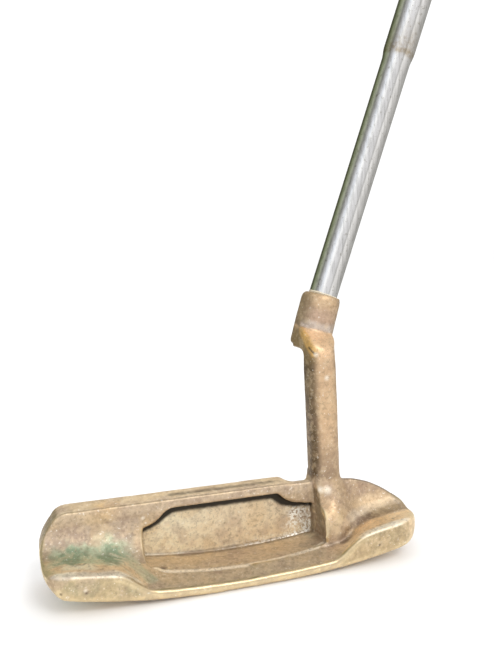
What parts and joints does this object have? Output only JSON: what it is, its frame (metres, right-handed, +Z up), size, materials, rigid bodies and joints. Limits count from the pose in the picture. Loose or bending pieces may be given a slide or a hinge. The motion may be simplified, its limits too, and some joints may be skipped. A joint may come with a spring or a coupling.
{
  "type": "blade putter",
  "caption": "Left-handed bronze blade putter with a plumber's neck, undercut cavity back, stepped chrome shaft and black pistol grip.",
  "frame": {"origin": "middle of the flat land of the sole, halfway between the leading and trailing edges, where the club stands on the ground", "axes": "+X along the blade from toe to heel, +Y out of the striking face towards the target, +Z up from the ground"},
  "size_m": [0.377, 0.0429, 0.8426],
  "materials": {
    "bronze": "satin",
    "chrome_steel": "gloss",
    "epoxy": "gloss",
    "tape": "matte",
    "grip_rubber": "matte",
    "cap_rubber": "satin"
  },
  "bodies": {
    "root": {"head": "bronze", "hosel_epoxy": "epoxy", "shaft": "chrome_steel", "grip_tape": "tape", "grip": "grip_rubber", "grip_cap": "cap_rubber"}
  },
  "joints": []
}
